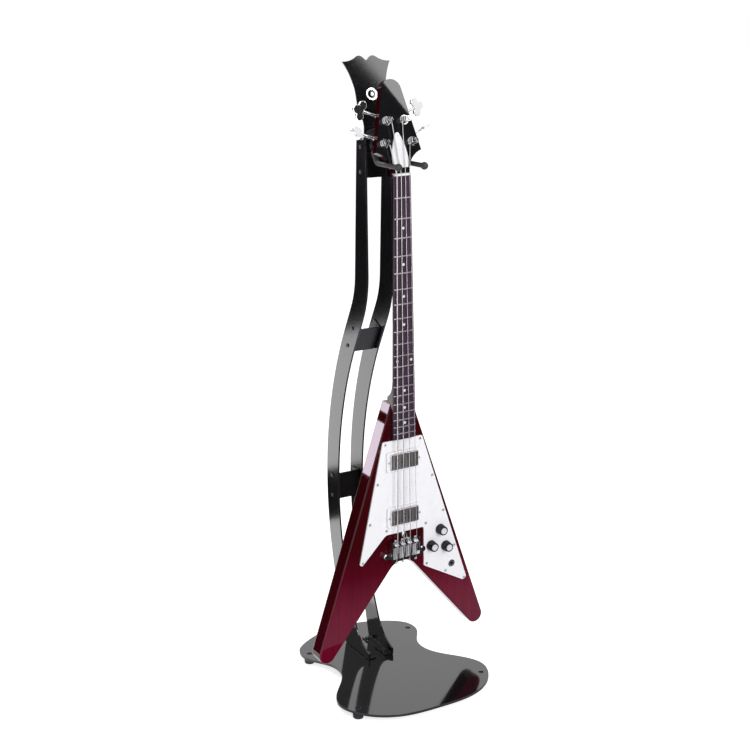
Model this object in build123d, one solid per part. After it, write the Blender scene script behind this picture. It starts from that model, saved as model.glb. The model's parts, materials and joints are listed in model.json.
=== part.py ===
from build123d import *
from math import asin, atan2, cos, degrees, hypot, radians, sin, sqrt
import os

# All sizes are in millimetres and all angles in degrees. The origin is on the floor under the
# middle of the stand, X is to the right, Y goes back and Z goes up. The guitar is modelled in
# a frame of its own, with its origin at the nut on the front of the fretboard: X to the right,
# Y going back and Z up along the neck. "along" values count down the neck from the nut.

# Stand: base and feet
foot_height = 17
foot_radius = 14
base_thickness = 6
rear_foot = (143.5, 141.5)
front_foot = (171, -153)
foot_screw_radius = 2.5
foot_screw_head = 6.5
foot_screw_sink = 1.2

# Stand: side plates
plate_thickness = 4
plate_gap = 62.7
column_y = 67
column_top_front = 1297
column_top_back = 1289
column_top_width = 40
column_width = 57
bend_start_z = 983
bend_radius = 211
bend_angle = 27
bend_run = 71
bow_radius = 828.5
bow_front_end_z = 94
bow_back_end_z = 113
toe_y = 34
toe_height = 18
heel_y = 149
flange_width = 19
flange_front_y = 38
bolt_x = 20
bolt_ys = (59, 138)
bolt_radius = 3

# Stand: brackets and crown
sheet = 3
bracket_depth = 32
bracket_height = 66
bracket_setback = 12
screw_pitch = 52
screw_radius = 2.5
screw_head_radius = 4.5
middle_bracket_run = 68
lower_bracket_angle = -1.4
web_front_y = 57
web_bottom_z = 1207
web_top_z = 1320
crown_flange_depth = 27
crown_screw_zs = (1220, 1276)
crown_tilt = 18
crown_side_points = ((31.5, 14), (38.5, 42), (39.5, 80), (46, 114))
crown_corner = (61, 148.5)
crown_scallop = (38, 152)
crown_crest_outer = (25, 159)
crown_crest = (16, 161)
crown_crest_inner = (7, 156)
crown_notch = (0, 150)
medallion_s = 73.6
medallion_radius = 14

# Stand: yoke
yoke_x = 33
yoke_root_x = 21
yoke_root_z = 1287
yoke_bend_y = -2
yoke_ball_y = -92.3
rod_radius = 3.5
sleeve_radius = 5.5
ball_radius = 8.5
yoke_nut_thickness = 5
rest_gap = 0.6

# Guitar: place on the stand
nut_y = -57
nut_z = 1223
guitar_roll = 0.918

# Guitar: neck and fretboard
scale_length = 863.6
fret_count = 20
nut_width = 41.5
board_end = 606
board_end_width = 60.3
board_thickness = 6
board_radius = 305
fret_width = 2.4
fret_height = 1.1
dot_radius = 3.2
dot_depth = 2
dot_frets = (3, 5, 7, 9, 15, 17, 19)
double_dot_fret = 12
double_dot_x = 18.5
nut_thickness = 5
neck_depth = 21.5
neck_heel_depth = 25
heel_start = 466
heel_sweep = 44
heel_depth = 50
tenon_half_width = 24
tenon_depth = 36
tenon_end = 612
truss_rod_radius = 2.6
truss_rod_y = 13
truss_nut_start = 14
truss_nut_end = 26
truss_nut_radius = 3.4
truss_nut_room_end = 40
truss_nut_room_radius = 4

# Guitar: headstock
head_tilt = 13.3
head_setback = 3.5
head_thickness = 15
veneer = 1.5
head_start = 5.6
head_root_half = 21.3
ear_x = 57.5
ear_s = 53
ear_arc_x = 73.1
ear_arc_s = 1.1
tip_s = 184
tip_radius = 26
rod_room_s = 32
rod_room_width = 12
rod_room_length = 36
rod_room_corner = 5
rod_room_depth = 9
cover_thickness = 2.2
cover_foot = (17.5, 17)
cover_side = (20, 30)
cover_shoulder = (20, 42)
cover_flank = (15, 66)
cover_tip_corner = (5, 90)
cover_tip_s = 94
cover_screw_places = ((0, 86), (-13, 23), (13, 23))
cover_screw_radius = 1.2
cover_screw_head_radius = 2.4
cover_screw_head_height = 0.8
cover_screw_depth = 8

# Guitar: body
body_front = 14
body_thickness = 40
body_top = 523
body_edge = 3
tip_x = 208
wing_end = 1109
wing_radius = 20.8
wing_outer_angle = 18.9
wing_inner_angle = 39.5
crotch_radius = 45

# Guitar: guard, pickups and controls
guard_thickness = 3
guard_screw_radius = 3.4
pickup_width = 75.5
pickup_length = 38.5
pickup_top = 1
pickup_bottom = 24
pickup_along = (660, 797.5)
ring_width = 92
ring_length = 49
ring_height = 6
pickup_clearance = 0.3
pickup_screw_x = 41.5
knob_places = ((103, 856), (77, 892.5), (118.5, 902))
knob_names = ("upper", "inner", "lower")
knob_radius = 13
knob_top_radius = 10.8
knob_height = 17.5
knob_cap_radius = 9.6
knob_lift = 0.3
pot_shaft_radius = 3
pot_radius = 12
pot_depth = 12
jack_place = (135, 951.5)
jack_radius = 9
jack_bore = 3.25
jack_length = 26
cavity_depth = 30
control_room_corners = ((58, 868), (96, 836), (122, 850), (158, 955), (140, 974), (62, 918))
control_room_fillet = 8
wire_hole_ends = ((60, 885), (20, 800))
wire_hole_depth = 12
wire_hole_radius = 5

# Guitar: bridge
bridge_front = 856
bridge_back = 906
bridge_half = 40
bridge_floor = 5
bridge_bottom = 10.5
bridge_wall = 3
bridge_front_wall = 2
bridge_wall_top = -3
stud_x = 50
stud_along = 893
front_stud_along = 847
stud_radius = 4
stud_depth = 18
stud_head_radius = 6
stud_head_height = 3
ear_radius = 7.5
ear_root = 4
rear_wall = 7
saddle_along = 867.5
saddle_length = 10
saddle_width = 11
saddle_gap = 0.15
saddle_screw_radius = 1.5
saddle_screw_y = 1.5
saddle_screw_head_radius = 2.8
saddle_screw_head_length = 2.5
string_spacing_bridge = 17.8
string_spacing_nut = 11
string_radii = (1.33, 1.08, 0.83, 0.6)
string_names = ("e", "a", "d", "g")
string_low_nut = -1.5
string_low_saddle = -6
string_break = 881
ball_end_radius = 3.2

# Guitar: strap buttons
strap_button_places = ((0, 560), (-188, 1062))
strap_washer_radius = 7
strap_washer_thickness = 1.5
strap_neck_radius = 4.5
strap_neck_length = 9.5
strap_flange_radius = 8
strap_flange_thickness = 3

# Guitar: tuners
post_places = ((35, 72), (22.5, 120))
shaft_rise = 21.5
shaft_offset = 9.5
shaft_depth = 22
shaft_radius = 2.2
worm_radius = 2.6
gear_radius = 6.6
gear_teeth = 20
gear_thickness = 5
post_radius = 5
post_front = 20
bushing_radius = 10.5
bushing_flange = 2.5
bushing_barrel = 7
coil_radius = 7.6
key_centre = 55
key_thickness = 6
key_lobe = 9.5
key_turns = (-45, 10, 15, 80)
housing_plate = 1.6
running_gap = 0.05

base_top = foot_height + base_thickness
plate_inner = plate_gap / 2
plate_outer = plate_inner + plate_thickness
half_column = column_width / 2
guard_front = body_front - guard_thickness


def polar(centre, radius, angle):
    """Point at an angle and a distance from a centre."""
    return (centre[0] + radius * cos(radians(angle)), centre[1] + radius * sin(radians(angle)))


def front_slab(outline, y0, y1):
    """Solid with a front-view outline (X, Z) between two depths."""
    return extrude(Plane.XZ.offset(-y0) * outline, amount=y1 - y0, dir=(0, 1, 0))


def side_slab(outline, x0, x1):
    """Solid with a side-view outline (Y, Z) between two X values."""
    return extrude(Plane.YZ.offset(x0) * outline, amount=x1 - x0, dir=(1, 0, 0))


def block(x0, x1, y0, y1, z0, z1):
    """Box between two corners."""
    return Pos((x0 + x1) / 2, (y0 + y1) / 2, (z0 + z1) / 2) * Box(x1 - x0, y1 - y0, z1 - z0)


def rod_between(start, end, radius):
    """Round bar from one point to another."""
    start = Vector(*start)
    end = Vector(*end)
    return extrude(Plane(start, z_dir=end - start) * Circle(radius), amount=(end - start).length)


def disc(x, z, y0, y1, radius):
    """Round bar along Y between two depths."""
    return rod_between((x, y0, z), (x, y1, z), radius)


def both(shape):
    """A shape and its mirror image across the middle."""
    return [shape, mirror(shape, about=Plane.YZ)]


def solids_of(shapes):
    """All solids in a list of shapes."""
    return [solid for shape in shapes for solid in shape.solids()]


def save(name, shapes, place=None):
    """Write one node, with all its solids, at its place."""
    if not isinstance(shapes, list):
        shapes = [shapes]
    solids = solids_of(shapes)
    if place is not None:
        solids = [place * solid for solid in solids]
    node = solids[0] if len(solids) == 1 else Compound(children=solids)
    export_step(node, f"parts/{name}.step")


os.makedirs("parts", exist_ok=True)

# Base plate, cut to a guitar-body outline, with countersunk foot screws
base_half = [
    (0, 236), (62, 230), (118, 205), (158, 168), (160, 125), (124, 62),
    (124, 14), (165, -48), (200, -112), (180, -172), (105, -226), (0, -237),
]
base_other_half = [(-x, y) for x, y in base_half[-2:0:-1]]
base_outline = make_face(Spline(base_half + base_other_half, periodic=True))
base = Pos(0, 0, foot_height) * extrude(base_outline, amount=base_thickness, dir=(0, 0, 1))
foot_places = [
    (side * x, y) for x, y in (rear_foot, front_foot) for side in (-1, 1)
]
feet = []
foot_screws = []
for x, y in foot_places:
    foot = Pos(x, y, foot_height / 2) * Cone(foot_radius - 2, foot_radius, foot_height)
    head_top = base_top - foot_screw_sink
    screw = rod_between((x, y, 6), (x, y, head_top), foot_screw_radius)
    head_rise = foot_screw_head - foot_screw_radius
    head = Cone(foot_screw_radius, foot_screw_head, head_rise)
    screw += Pos(x, y, head_top - head_rise / 2) * head
    feet.append(foot - screw)
    foot_screws.append(screw)
    base -= screw
    base -= rod_between((x, y, head_top), (x, y, base_top), foot_screw_head)

# Side plates: a straight column, a bend backward, a bow and a foot with an inward flange
bend_centre = (column_y + bend_radius, bend_start_z)
turn = 180 + bend_angle
run = (sin(radians(bend_angle)), -cos(radians(bend_angle)))
run_start = polar(bend_centre, bend_radius, turn)
run_end = (run_start[0] + bend_run * run[0], run_start[1] + bend_run * run[1])
bow_centre = polar(run_end, bow_radius, turn)


def column_edge(side, end_z):
    """One long edge of a side plate, from the top down to the end of the bow."""
    reach = bend_radius - side * half_column
    bow = bow_radius + side * half_column
    edge_start = (column_y + side * half_column, bend_start_z)
    bend_end = polar(bend_centre, reach, turn)
    bow_start = polar(bow_centre, bow, bend_angle)
    end_angle = degrees(asin((end_z - bow_centre[1]) / bow))
    bow_end = polar(bow_centre, bow, end_angle)
    top = column_top_back if side > 0 else column_top_front
    return [
        Line((column_y + side * column_top_width / 2, top), edge_start),
        ThreePointArc(edge_start, polar(bend_centre, reach, 180 + bend_angle / 2), bend_end),
        Line(bend_end, bow_start),
        ThreePointArc(bow_start, polar(bow_centre, bow, (bend_angle + end_angle) / 2), bow_end),
    ], bow_end, end_angle


front_edges, front_end, front_angle = column_edge(-1, bow_front_end_z)
back_edges, back_end, back_angle = column_edge(1, bow_back_end_z)
front_way = (sin(radians(front_angle)), -cos(radians(front_angle)))
toe_top = (toe_y, base_top + toe_height)
foot_edges = [
    TangentArc(front_end, toe_top, tangent=front_way),
    Line(toe_top, (toe_y, base_top)),
    Line((toe_y, base_top), (heel_y, base_top)),
    Line((heel_y, base_top), back_end),
]
top_edge = Line(
    (column_y - column_top_width / 2, column_top_front),
    (column_y + column_top_width / 2, column_top_back),
)
plate_outline = make_face(front_edges + foot_edges + back_edges + [top_edge])
side_plate = side_slab(plate_outline, plate_inner, plate_outer)
flange_top = base_top + plate_thickness
side_plate += block(
    plate_inner - flange_width, plate_inner, flange_front_y, heel_y, base_top, flange_top
)
bend_edge = side_plate.edges().filter_by(Axis.Y).filter_by(
    lambda edge: abs(edge.center().Z - base_top) < 0.01 and edge.center().X > plate_outer - 0.01
)
side_plate = fillet(bend_edge, plate_thickness - 0.5)
foot_bolts = []
for y in bolt_ys:
    side_plate -= rod_between((bolt_x, y, base_top), (bolt_x, y, flange_top), bolt_radius + 0.1)
    bolt = rod_between((bolt_x, y, foot_height), (bolt_x, y, flange_top), bolt_radius)
    bolt += rod_between((bolt_x, y, flange_top), (bolt_x, y, flange_top + 4), 5.5)
    foot_bolts += both(bolt)
for bolt in foot_bolts:
    base -= bolt

# Brackets: bent sheets between the plates, with two screws on each side
bracket_places = [
    (run_start[0] + middle_bracket_run * run[0],
     run_start[1] + middle_bracket_run * run[1], bend_angle),
    (*polar(bow_centre, bow_radius, lower_bracket_angle), lower_bracket_angle),
]


def channel(front, depth, bottom, top):
    """Bent sheet with a web in front and two flanges going back."""
    outer = Pos(0, front + depth / 2) * Rectangle(plate_gap, depth)
    outer = fillet(outer.vertices().group_by(Axis.Y)[0], sheet + 1)
    inner = Pos(0, front + sheet + depth / 2) * Rectangle(plate_gap - 2 * sheet, depth)
    inner = fillet(inner.vertices().group_by(Axis.Y)[0], 1)
    return Pos(0, 0, bottom) * extrude(outer - inner, amount=top - bottom, dir=(0, 0, 1))


def bracket_screw(y, z):
    """Pan-head screw through a side plate into a bracket's flange."""
    tip = plate_inner - sheet - 1.5
    screw = rod_between((tip, y, z), (plate_outer, y, z), screw_radius)
    return screw + rod_between((plate_outer, y, z), (plate_outer + 2.5, y, z), screw_head_radius)


bracket_screws = []
brackets = []
for y, z, angle in bracket_places:
    place = Location((0, y, z), (angle, 0, 0))
    front = bracket_setback - half_column
    bracket = channel(front, bracket_depth, -bracket_height / 2, bracket_height / 2)
    for offset_z in (-screw_pitch / 2, screw_pitch / 2):
        for screw in both(bracket_screw(0, offset_z)):
            bracket -= screw
            bracket_screws.append(place * screw)
    brackets.append(place * bracket)
middle_bracket, lower_bracket = brackets

# Crown: the top bracket's web goes on upward, bends back and spreads
crown = channel(web_front_y, crown_flange_depth, web_bottom_z, column_top_back - 4)
crown += block(-plate_inner, plate_inner, web_front_y, web_front_y + sheet,
               column_top_back - 4, web_top_z)
crown_side = Spline([(plate_inner, 0), *crown_side_points, crown_corner])
crown_top = [
    ThreePointArc(crown_corner, crown_scallop, crown_crest_outer),
    ThreePointArc(crown_crest_outer, crown_crest, crown_crest_inner),
    Line(crown_crest_inner, crown_notch),
]
crown_right = [crown_side] + crown_top
crown_left = [mirror(edge, about=Plane.YZ) for edge in crown_right]
crown_bottom = Line((-plate_inner, 0), (plate_inner, 0))
crown_face = make_face(crown_right + crown_left + [crown_bottom])
crown_place = Location((0, web_front_y, web_top_z), (-crown_tilt, 0, 0))
crown += crown_place * front_slab(crown_face, 0, sheet)
for z in crown_screw_zs:
    for screw in both(bracket_screw(column_y, z)):
        crown -= screw
        bracket_screws.append(screw)
medallion = disc(0, medallion_s, -2, 0, medallion_radius)
medallion -= disc(0, medallion_s, -2, -1.4, medallion_radius - 2)
medallion = crown_place * medallion
for screw in bracket_screws:
    if screw.center().X > 0:
        side_plate -= screw

# Yoke: two bent rods through the crown's web, rubber sleeves with ball ends, and nuts. The
# arms' height follows from the headstock's ears, which rest on the sleeves.
ear_arc_radius = hypot(ear_x - ear_arc_x, ear_s - ear_arc_s)
rest_reach = ear_arc_radius - sleeve_radius - rest_gap
rest_s = ear_arc_s + sqrt(rest_reach ** 2 - (ear_arc_x - yoke_x) ** 2)
tilt_cos = cos(radians(head_tilt))
tilt_sin = sin(radians(head_tilt))
rest_z = rest_s * tilt_cos - head_thickness * tilt_sin
yoke_z = nut_z + rest_z * cos(radians(guitar_roll)) - yoke_x * sin(radians(guitar_roll))
nut_back = web_front_y + sheet + yoke_nut_thickness
rod_points = [
    (yoke_root_x, nut_back + 3, yoke_root_z),
    (yoke_root_x, web_front_y - yoke_nut_thickness - 3, yoke_root_z),
    (yoke_x, 22, yoke_root_z - 8),
    (yoke_x, yoke_bend_y, yoke_z),
    (yoke_x, yoke_ball_y, yoke_z),
]
sleeve_start = Vector(*rod_points[2]) * 0.7 + Vector(*rod_points[3]) * 0.3


def swept(path, radius):
    """Round bar along a path."""
    return sweep(Plane(path @ 0, z_dir=path % 0) * Circle(radius), path=path)


rod = swept(FilletPolyline(rod_points, radius=[5, 10, 14]), rod_radius)
sleeve_path = FilletPolyline([sleeve_start, rod_points[3], rod_points[4]], radius=14)
sleeve = swept(sleeve_path, sleeve_radius) + Pos(*rod_points[4]) * Sphere(ball_radius)
sleeve -= rod
yoke_nut = front_slab(RegularPolygon(6.5, 6), 0, yoke_nut_thickness)
yoke_nuts = []
for y in (web_front_y - yoke_nut_thickness, web_front_y + sheet):
    yoke_nuts += both(Pos(yoke_root_x, y, yoke_root_z) * yoke_nut - rod)
for shape in both(disc(yoke_root_x, yoke_root_z, web_front_y - 1, nut_back, rod_radius + 0.1)):
    crown -= shape

save("base_plate", base)
save("feet", feet)
save("foot_screws", foot_screws)
save("side_plate_right", side_plate)
save("side_plate_left", mirror(side_plate, about=Plane.YZ))
save("foot_bolts", foot_bolts)
save("crown_bracket", crown)
save("middle_bracket", middle_bracket)
save("lower_bracket", lower_bracket)
save("bracket_screws", bracket_screws)
save("crown_medallion", medallion)
save("yoke_rods", both(rod))
save("yoke_sleeves", both(sleeve))
save("yoke_nuts", yoke_nuts)

# Places of the guitar and of its headstock
guitar_place = Location((0, nut_y, nut_z), (0, -guitar_roll, 0))
head_place = Location((0, head_setback, 0), (-head_tilt, 0, 0))


def head_point(x, y, s):
    """Point of the headstock's frame in the guitar's frame."""
    return (x, head_setback + y * tilt_cos + s * tilt_sin, s * tilt_cos - y * tilt_sin)


# Fretboard with its curved front, frets and dots
board_slope = (board_end_width - nut_width) / 2 / board_end


def board_half(along):
    """Half the fretboard's width at a distance from the nut."""
    return nut_width / 2 + board_slope * along


def fret_along(number):
    """Distance of a fret from the nut."""
    return scale_length * (1 - 2 ** (-number / 12))


def board_drop(x):
    """Depth of the curved front behind its crest."""
    return board_radius - sqrt(board_radius ** 2 - x ** 2)


board_outline = Polygon(
    (-nut_width / 2, 0), (nut_width / 2, 0),
    (board_end_width / 2, -board_end), (-board_end_width / 2, -board_end), align=None,
)
board = front_slab(board_outline, -1, board_thickness)
board &= rod_between((0, board_radius, -board_end - 1), (0, board_radius, 1), board_radius)
frets = []
for number in range(1, fret_count + 1):
    along = fret_along(number)
    half = board_half(along) - 0.4
    drop = board_drop(half)
    crest = ThreePointArc((-half, drop - fret_height), (0, -fret_height), (half, drop - fret_height))
    seat = ThreePointArc((-half, drop), (0, 0), (half, drop))
    ends = [
        Line((-half, drop - fret_height), (-half, drop)),
        Line((half, drop - fret_height), (half, drop)),
    ]
    fret_face = make_face([crest, seat] + ends)
    fret = extrude(fret_face, amount=fret_width, dir=(0, 0, 1))
    frets.append(Pos(0, 0, -along - fret_width / 2) * fret)
dot_places = [(0, number) for number in dot_frets]
dot_places += [(-double_dot_x, double_dot_fret), (double_dot_x, double_dot_fret)]
dots = []
for x, number in dot_places:
    z = -(fret_along(number - 1) + fret_along(number)) / 2
    peg = disc(x, z, -dot_depth / 2, dot_depth, dot_radius)
    dots.append(peg & board)
    board -= peg

# Strings, from the ball end over the saddle and the nut to the post
strings = []
string_slots = []
string_places = []
for index, radius in enumerate(string_radii):
    step = index - 1.5
    string_places.append((step * string_spacing_nut, step * string_spacing_bridge, radius))
for index, (nut_x, bridge_x, radius) in enumerate(string_places):
    side = -1 if index < 2 else 1
    post_x, post_s = post_places[0] if index in (0, 3) else post_places[1]
    leave_x = side * (post_x - coil_radius - radius - 0.15)
    points = [
        (bridge_x, 0, -bridge_back - ball_end_radius - 0.1),
        (bridge_x, string_low_saddle - radius, -string_break),
        (nut_x, string_low_nut - radius, nut_thickness / 2),
        head_point(leave_x, -8, post_s),
    ]
    string_path = FilletPolyline(points, radius=5)
    string = swept(string_path, radius)
    strings.append(string + Pos(*points[0]) * Sphere(ball_end_radius))
    string_slots.append(swept(string_path, radius + 0.05))

# Nut with a slot for each string
nut_top = string_low_nut - 1
nut = block(-nut_width / 2, nut_width / 2, nut_top, board_thickness, 0, nut_thickness)
nut = fillet(nut.edges().filter_by(Axis.Z).group_by(Axis.Y)[0], 1.5)
for (nut_x, bridge_x, radius), slot in zip(string_places, string_slots):
    nut -= slot
    nut -= Pos(0, -radius, 0) * slot

# Neck: a tapered D section, a heel that sweeps back to the body's depth, and a tenon


def neck_section(along, depth, wall):
    """Cross-section of the neck at a distance from the nut."""
    half = board_half(along)
    side_y = board_thickness + wall
    return Pos(0, 0, -along) * make_face([
        Line((-half, board_thickness), (half, board_thickness)),
        Line((half, board_thickness), (half, side_y)),
        ThreePointArc((half, side_y), (0, depth), (-half, side_y)),
        Line((-half, side_y), (-half, board_thickness)),
    ])


neck = loft([neck_section(-nut_thickness - 2, neck_depth, 1.5),
             neck_section(heel_start, neck_heel_depth, 1.5)], ruled=True)
heel_sections = []
sweep_rise = heel_depth - neck_heel_depth
for angle in (0, 18, 36, 54, 72):
    rise = sweep_rise * (1 - cos(radians(angle))) / (1 - cos(radians(72)))
    along = heel_start + heel_sweep * sin(radians(angle)) / sin(radians(72))
    heel_sections.append(neck_section(along, neck_heel_depth + rise, 1.5 + 0.85 * rise))
heel_sections.append(neck_section(body_top, heel_depth, 1.5 + 0.85 * sweep_rise))
neck += loft(heel_sections, ruled=True)
tenon_top = block(-board_half(body_top), board_half(body_top), board_thickness, body_front,
                  -board_end, -body_top)
tenon = block(-tenon_half_width, tenon_half_width, body_front, tenon_depth,
              -tenon_end, -body_top)
neck += tenon_top
neck += tenon

# Headstock: flared ears with hollow undersides, straight sides and a round tip
ear_root_s = ear_arc_s + sqrt(ear_arc_radius ** 2 - (ear_arc_x - head_root_half) ** 2)
ear_mid_angle = (
    degrees(atan2(ear_s - ear_arc_s, ear_x - ear_arc_x))
    + degrees(atan2(ear_root_s - ear_arc_s, head_root_half - ear_arc_x))
) / 2
to_tip = hypot(ear_x, tip_s - ear_s)
tangent_length = sqrt(to_tip ** 2 - tip_radius ** 2)
tangent_angle = degrees(atan2(tip_s - ear_s, -ear_x)) - degrees(asin(tip_radius / to_tip))
tip_edge = polar((ear_x, ear_s), tangent_length, tangent_angle)


def head_outline(start):
    """Face outline of the headstock from a distance above the nut."""
    half = [
        Line((head_root_half, start), (head_root_half, ear_root_s)),
        ThreePointArc((head_root_half, ear_root_s),
                      polar((ear_arc_x, ear_arc_s), ear_arc_radius, ear_mid_angle),
                      (ear_x, ear_s)),
        Line((ear_x, ear_s), tip_edge),
    ]
    other = [mirror(edge, about=Plane.YZ) for edge in half]
    tip = ThreePointArc(tip_edge, (0, tip_s + tip_radius), (-tip_edge[0], tip_edge[1]))
    bottom = Line((-head_root_half, start), (head_root_half, start))
    return make_face(half + other + [tip, bottom])


head = head_place * front_slab(head_outline(head_start), veneer, head_thickness)
head_veneer = front_slab(head_outline(head_start + 0.6), 0, veneer)
neck += head
neck -= head_place * front_slab(head_outline(head_start + 0.6), -4, veneer)
rod_room_outline = Pos(0, rod_room_s) * RectangleRounded(rod_room_width, rod_room_length, rod_room_corner)
rod_room = front_slab(rod_room_outline, -1, rod_room_depth)
head_veneer -= rod_room
neck -= head_place * rod_room
rod_end = (0, truss_rod_y, truss_nut_start)
truss_rod = rod_between((0, truss_rod_y, -heel_start), rod_end, truss_rod_radius)
neck -= truss_rod
truss_rod += rod_between(rod_end, (0, truss_rod_y, truss_nut_end), truss_nut_radius)
neck -= rod_between((0, truss_rod_y, truss_nut_start - 0.1), (0, truss_rod_y, truss_nut_room_end),
                    truss_nut_room_radius)

# Truss-rod cover: a plain bell with three screws
bell_half = [
    Line((0, cover_foot[1]), cover_foot),
    ThreePointArc(cover_foot, cover_side, cover_shoulder),
    ThreePointArc(cover_shoulder, cover_flank, cover_tip_corner),
]
bell_top = ThreePointArc(cover_tip_corner, (0, cover_tip_s), (-cover_tip_corner[0], cover_tip_corner[1]))
bell = make_face(bell_half + [mirror(edge, about=Plane.YZ) for edge in bell_half] + [bell_top])
truss_cover = front_slab(bell, -cover_thickness, 0)
cover_screws = []
for x, s in cover_screw_places:
    screw = disc(x, s, -cover_thickness - cover_screw_head_height, -cover_thickness,
                 cover_screw_head_radius)
    screw += disc(x, s, -cover_thickness, cover_screw_depth, cover_screw_radius)
    cover_screws.append(screw)
    truss_cover -= screw
    head_veneer -= screw
    neck -= head_place * screw

# Tuners: bushing and post through the head, worm and gear behind it, clover-shaped key
gear_front = shaft_depth - gear_thickness / 2
gear_points = []
for index in range(gear_teeth):
    for part, radius in ((-0.25, 0.86), (-0.12, 1), (0.12, 1), (0.25, 0.86)):
        gear_points.append(polar((0, 0), gear_radius * radius, (index + part) * 360 / gear_teeth))
gear = front_slab(Polygon(*gear_points, align=None), gear_front, gear_front + gear_thickness)
post = disc(0, 0, -post_front, gear_front, post_radius)
post += disc(0, 0, -post_front, -post_front + 3, post_radius + 1.8)
post -= block(-1.4, 1.4, -post_front - 1, -post_front + 6, -8, 8)
post += gear
coil = disc(0, 0, -12, -4, coil_radius) - disc(0, 0, -12, -4, post_radius)
bushing = disc(0, 0, -bushing_flange, 0, bushing_radius) + disc(0, 0, 0, 10, bushing_barrel)
bushing -= disc(0, 0, -bushing_flange, 10, post_radius + running_gap)
plate_back = head_thickness + housing_plate
housing_outline = Pos(0, 3) * RectangleRounded(30, 30, 5)
housing = front_slab(housing_outline, head_thickness, plate_back)
housing -= disc(0, 0, head_thickness, plate_back, post_radius + running_gap)
bearing_outer = 13
for x0, x1 in ((-12, -7.5), (7.5, bearing_outer)):
    housing += block(x0, x1, plate_back - 0.5, shaft_depth + 4, shaft_offset - 4.5, shaft_offset + 4.5)
shaft_ends = ((-13, 0, 0), (key_centre, 0, 0))
shaft_place = Pos(0, shaft_depth, shaft_offset)
housing -= shaft_place * rod_between((-20, 0, 0), (20, 0, 0), shaft_radius + running_gap)
housing_screws = []
for x, z in ((-9, -8.5), (9, -8.5)):
    screw = disc(x, z, plate_back, plate_back + 1.2, 2.3) + disc(x, z, 7, plate_back, 1.2)
    housing_screws.append(screw)
    housing -= screw


def tuner_key(angle):
    """Worm shaft with a collar and a clover-shaped key turned by an angle."""
    clover = Circle(key_lobe * 0.8)
    for x, z, inward in ((10, 0, 180), (-1, 12, -90), (-1, -12, 90)):
        clover += Pos(x, z) * Rot(0, 0, inward) * Circle(key_lobe)
    clover = fillet(clover.vertices(), 2)
    clover = front_slab(Pos(key_centre, 0) * clover, -key_thickness / 2, key_thickness / 2)
    faces = clover.faces().filter_by(Axis.Y)
    clover = fillet(ShapeList(edge for face in faces for edge in face.edges()), 1.6)
    key = rod_between(*shaft_ends, shaft_radius)
    key += rod_between((-6.8, 0, 0), (6.8, 0, 0), worm_radius)
    key += rod_between((bearing_outer + 0.1, 0, 0), (bearing_outer + 4, 0, 0), 4.2)
    key += rod_between((bearing_outer + 4, 0, 0), (key_centre - 4, 0, 0), 3)
    return shaft_place * Rot(angle, 0, 0) * (key + clover)


bushings = []
housings = []
tuner_screws = []
tuner_posts = {}
tuner_keys = {}
for index, name in enumerate(string_names):
    x, s = post_places[0] if index in (0, 3) else post_places[1]
    place = Location((x, 0, s), (0, -shaft_rise, 0))
    flip = index < 2

    def set_tuner(shape):
        """A tuner piece at its post, on the left or the right."""
        placed = place * shape
        if flip:
            placed = mirror(placed, about=Plane.YZ)
        return head_place * placed

    bore = set_tuner(disc(0, 0, -1, head_thickness + 1, bushing_barrel))
    neck -= bore
    head_veneer -= mirror(place * disc(0, 0, -1, veneer + 1, bushing_barrel), about=Plane.YZ)
    head_veneer -= place * disc(0, 0, -1, veneer + 1, bushing_barrel)
    bushings.append(set_tuner(bushing))
    housings.append(set_tuner(housing))
    for screw in housing_screws:
        neck -= set_tuner(screw)
        tuner_screws.append(set_tuner(screw))
    tuner_posts[name] = [set_tuner(post), set_tuner(coil)]
    tuner_keys[name] = set_tuner(tuner_key(key_turns[index]))

# Body: a V with round wing tips and a round crotch
tip = (tip_x, -wing_end)
outer_point = polar(tip, wing_radius, wing_outer_angle)
inner_point = polar(tip, wing_radius, 180 + wing_inner_angle)
low_point = polar(tip, wing_radius, (wing_outer_angle + wing_inner_angle - 180) / 2)
outer_slope = sin(radians(wing_outer_angle)) / cos(radians(wing_outer_angle))
shoulder = outer_point[0] - outer_slope * (-body_top - outer_point[1])
inner_slope = sin(radians(wing_inner_angle)) / cos(radians(wing_inner_angle))
crotch_vertex = inner_point[1] + inner_point[0] / inner_slope
crotch_centre = (0, crotch_vertex - crotch_radius / sin(radians(wing_inner_angle)))
crotch_end = polar(crotch_centre, crotch_radius, wing_inner_angle)
wing = [
    Line((0, -body_top), (shoulder, -body_top)),
    Line((shoulder, -body_top), outer_point),
    ThreePointArc(outer_point, low_point, inner_point),
    Line(inner_point, crotch_end),
    ThreePointArc(crotch_end, polar(crotch_centre, crotch_radius, (90 + wing_inner_angle) / 2),
                  (0, crotch_centre[1] + crotch_radius)),
]
body_outline = make_face(wing + [mirror(edge, about=Plane.YZ) for edge in wing])
body_back = body_front + body_thickness
body = front_slab(body_outline, body_front, body_back)
rim = body.edges().filter_by(
    lambda edge: edge.bounding_box().size.Y < 0.01 and edge.center().Z < -body_top - 0.01
)
body = fillet(rim, body_edge)
body -= tenon
for along in pickup_along:
    room = Pos(0, -along) * RectangleRounded(ring_width - 2, ring_length - 5, 5)
    body -= front_slab(room, body_front, body_front + cavity_depth - 10)
control_room = Polygon(*((x, -along) for x, along in control_room_corners), align=None)
control_room = fillet(control_room.vertices(), control_room_fillet)
body -= front_slab(control_room, body_front, body_front + cavity_depth)
(wire_x0, wire_along0), (wire_x1, wire_along1) = wire_hole_ends
wire_y = body_front + wire_hole_depth
body -= rod_between((wire_x0, wire_y, -wire_along0), (wire_x1, wire_y, -wire_along1), wire_hole_radius)

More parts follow.
